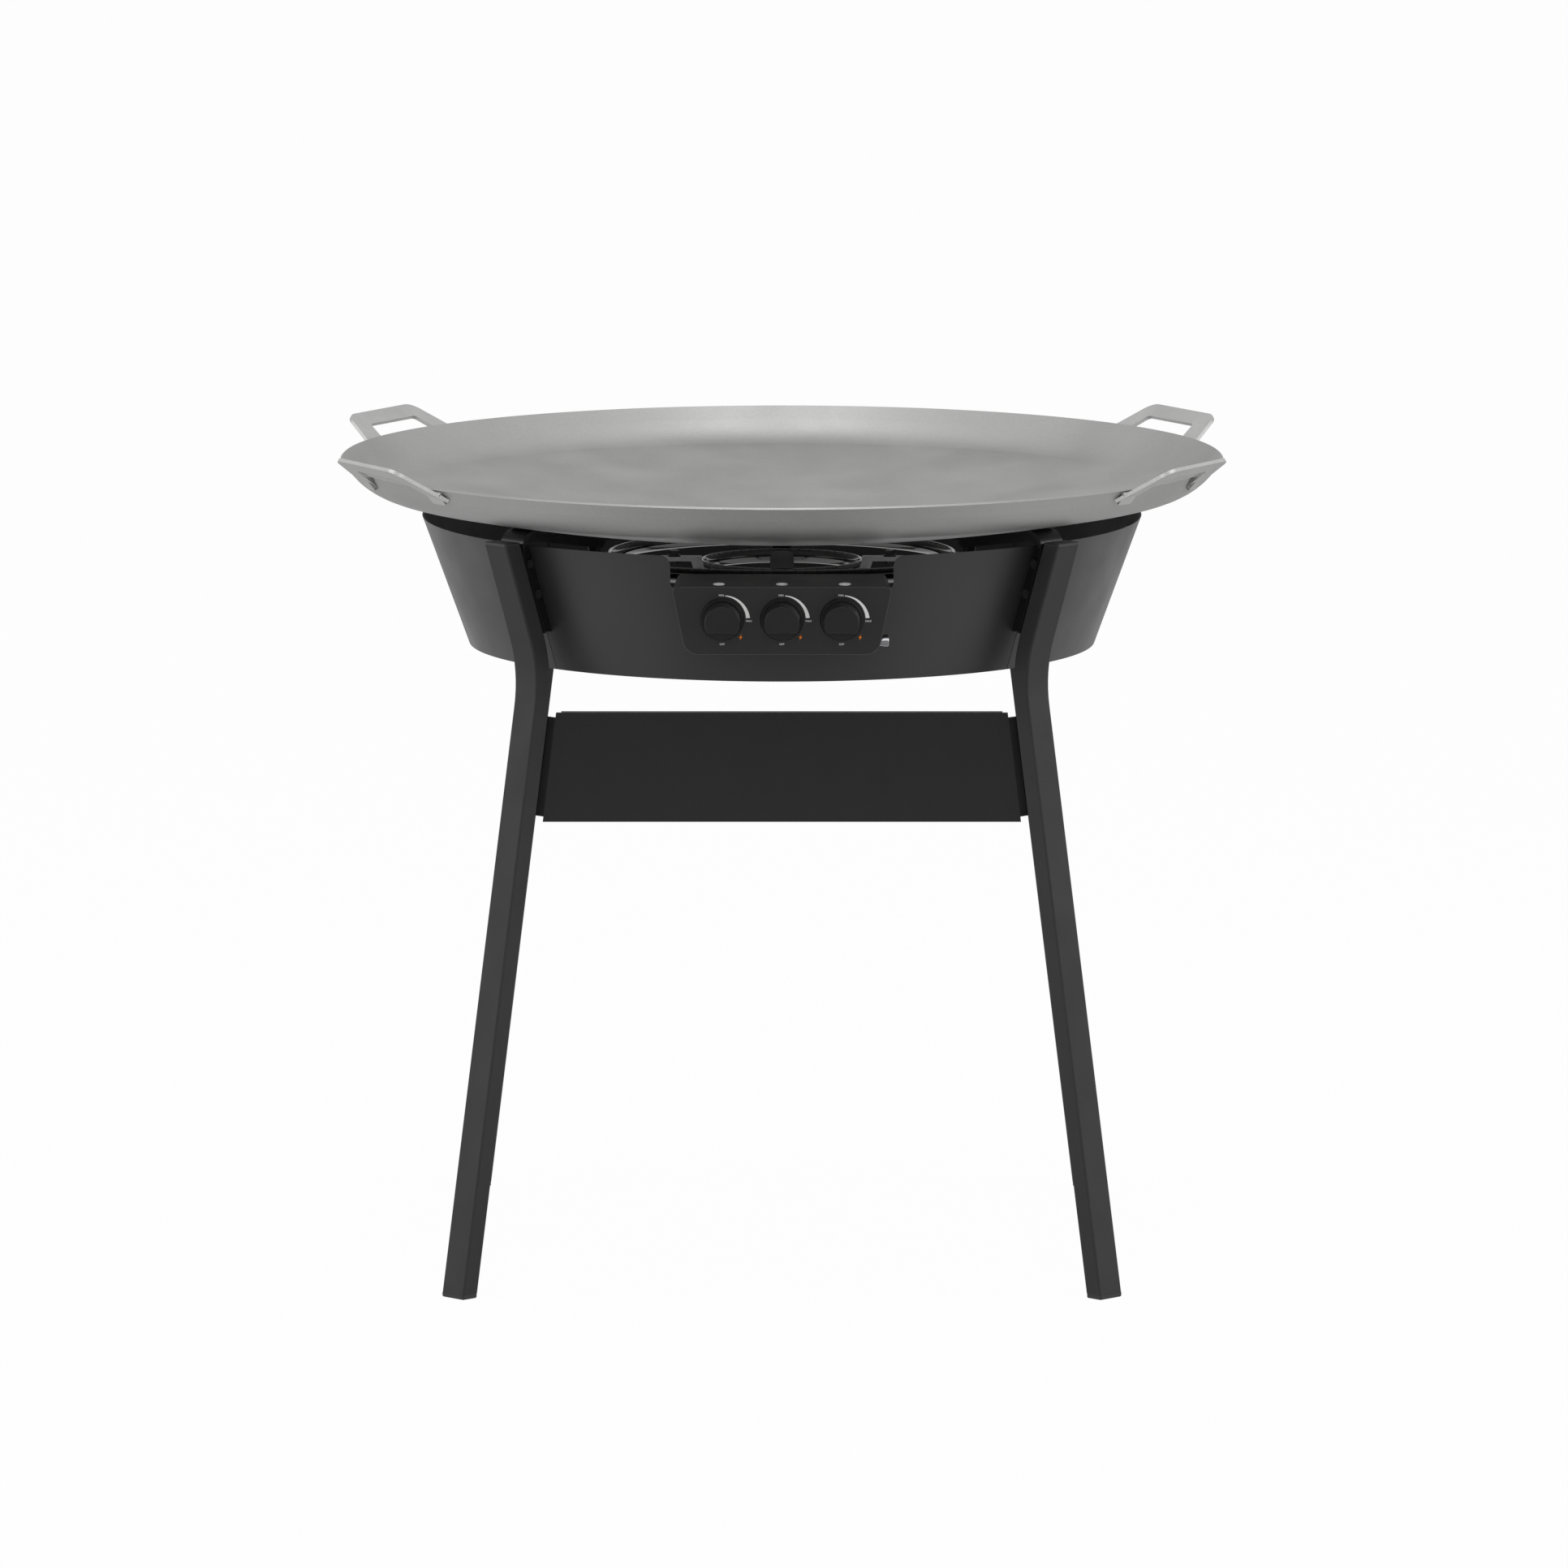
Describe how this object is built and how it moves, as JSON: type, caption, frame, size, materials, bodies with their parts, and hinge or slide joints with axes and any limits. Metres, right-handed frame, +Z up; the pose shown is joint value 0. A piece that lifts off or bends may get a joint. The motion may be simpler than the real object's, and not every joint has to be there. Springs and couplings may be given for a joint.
{
  "type": "griddle pan with gas burner",
  "caption": "Wide dished steel griddle pan with loop handles, lying on a free-standing ring gas burner with splayed tube legs, a conical windshield and push-and-turn knobs.",
  "frame": {"origin": "on the floor under the centre of the pan", "axes": "+Z up, the control knobs on the -Y side, the gas inlet pointing to +X"},
  "size_m": [1, 1, 0.926],
  "materials": {
    "pan_steel": "polished sheet steel, oiled",
    "handle_steel": "bent flat bar, welded",
    "shield_paint": "matt black stove enamel",
    "frame_paint": "matt black powder coat",
    "rest_paint": "matt black powder coat",
    "cap_plastic": "moulded black plastic",
    "burner_steel": "dark steel tube",
    "zinc_steel": "zinc plated",
    "bolt_black": "black oxide",
    "igniter_paint": "heat-proof dark grey",
    "electrode_ceramic": "glazed white",
    "box_paint": "satin black",
    "bezel_plastic": "satin black",
    "knob_plastic": "satin black",
    "valve_brass": "machined",
    "bright_steel": "turned",
    "inlet_chrome": "bright plated"
  },
  "bodies": {
    "frame": {"windshield_front": "shield_paint", "windshield_right": "shield_paint", "windshield_rear": "shield_paint", "windshield_left": "shield_paint", "leg_front_right": "frame_paint", "leg_rear_right": "frame_paint", "leg_rear_left": "frame_paint", "leg_front_left": "frame_paint", "rear_brace": "frame_paint", "pan_rest_front_right": "rest_paint", "pan_rest_rear_right": "rest_paint", "pan_rest_rear_left": "rest_paint", "pan_rest_front_left": "rest_paint", "leg_top_cap_front_right": "cap_plastic", "leg_top_cap_rear_right": "cap_plastic", "leg_top_cap_rear_left": "cap_plastic", "leg_top_cap_front_left": "cap_plastic", "foot_cap_front_right": "cap_plastic", "foot_cap_rear_right": "cap_plastic", "foot_cap_rear_left": "cap_plastic", "foot_cap_front_left": "cap_plastic", "burner_ring_inner": "burner_steel", "burner_ring_middle": "burner_steel", "burner_ring_outer": "burner_steel", "feed_tube_inner": "burner_steel", "feed_tube_middle": "burner_steel", "feed_tube_outer": "burner_steel", "rear_carrier": "burner_steel", "cross_carrier": "zinc_steel", "box_stay_left": "zinc_steel", "box_stay_right": "zinc_steel", "m6_bolts": "bolt_black", "ring_hanger_front_right": "bolt_black", "ring_hanger_rear_right": "bolt_black", "ring_hanger_rear_left": "bolt_black", "ring_hanger_front_left": "bolt_black", "igniter_bracket": "igniter_paint", "spark_electrodes": "electrode_ceramic", "control_box": "box_paint", "knob_bezels": "bezel_plastic", "gas_manifold": "valve_brass", "injectors": "valve_brass", "gas_valve_left": "valve_brass", "gas_valve_middle": "valve_brass", "gas_valve_right": "valve_brass", "gas_inlet": "inlet_chrome"},
    "pan": {"griddle_pan": "pan_steel", "pan_handle_rear_right": "handle_steel", "pan_handle_rear_left": "handle_steel", "pan_handle_front_left": "handle_steel", "pan_handle_front_right": "handle_steel"},
    "stem_left": {"push_collar_left": "bright_steel"},
    "knob_left": {"control_knob_left": "knob_plastic", "spindle_left": "bright_steel"},
    "stem_middle": {"push_collar_middle": "bright_steel"},
    "knob_middle": {"control_knob_middle": "knob_plastic", "spindle_middle": "bright_steel"},
    "stem_right": {"push_collar_right": "bright_steel"},
    "knob_right": {"control_knob_right": "knob_plastic", "spindle_right": "bright_steel"}
  },
  "joints": [
    {"name": "pan_lift", "type": "slide", "parent": "frame", "child": "pan", "axis": [0, 0, 1], "range_m": [0, 0.15]},
    {"name": "push_left", "type": "slide", "parent": "frame", "child": "stem_left", "axis": [0, 0.9945, 0.1045], "range_m": [0, 0.004], "stiffness_N_per_m": 2000, "springref_m": -0.002},
    {"name": "turn_left", "type": "hinge", "parent": "stem_left", "child": "knob_left", "pos_m": [-0.066, -0.413, 0.7699], "axis": [0, -0.9945, -0.1045], "range_deg": [0, 180]},
    {"name": "push_middle", "type": "slide", "parent": "frame", "child": "stem_middle", "axis": [0, 0.9945, 0.1045], "range_m": [0, 0.004], "stiffness_N_per_m": 2000, "springref_m": -0.002},
    {"name": "turn_middle", "type": "hinge", "parent": "stem_middle", "child": "knob_middle", "pos_m": [0, -0.413, 0.7699], "axis": [0, -0.9945, -0.1045], "range_deg": [0, 180]},
    {"name": "push_right", "type": "slide", "parent": "frame", "child": "stem_right", "axis": [0, 0.9945, 0.1045], "range_m": [0, 0.004], "stiffness_N_per_m": 2000, "springref_m": -0.002},
    {"name": "turn_right", "type": "hinge", "parent": "stem_right", "child": "knob_right", "pos_m": [0.066, -0.413, 0.7699], "axis": [0, -0.9945, -0.1045], "range_deg": [0, 180]}
  ]
}
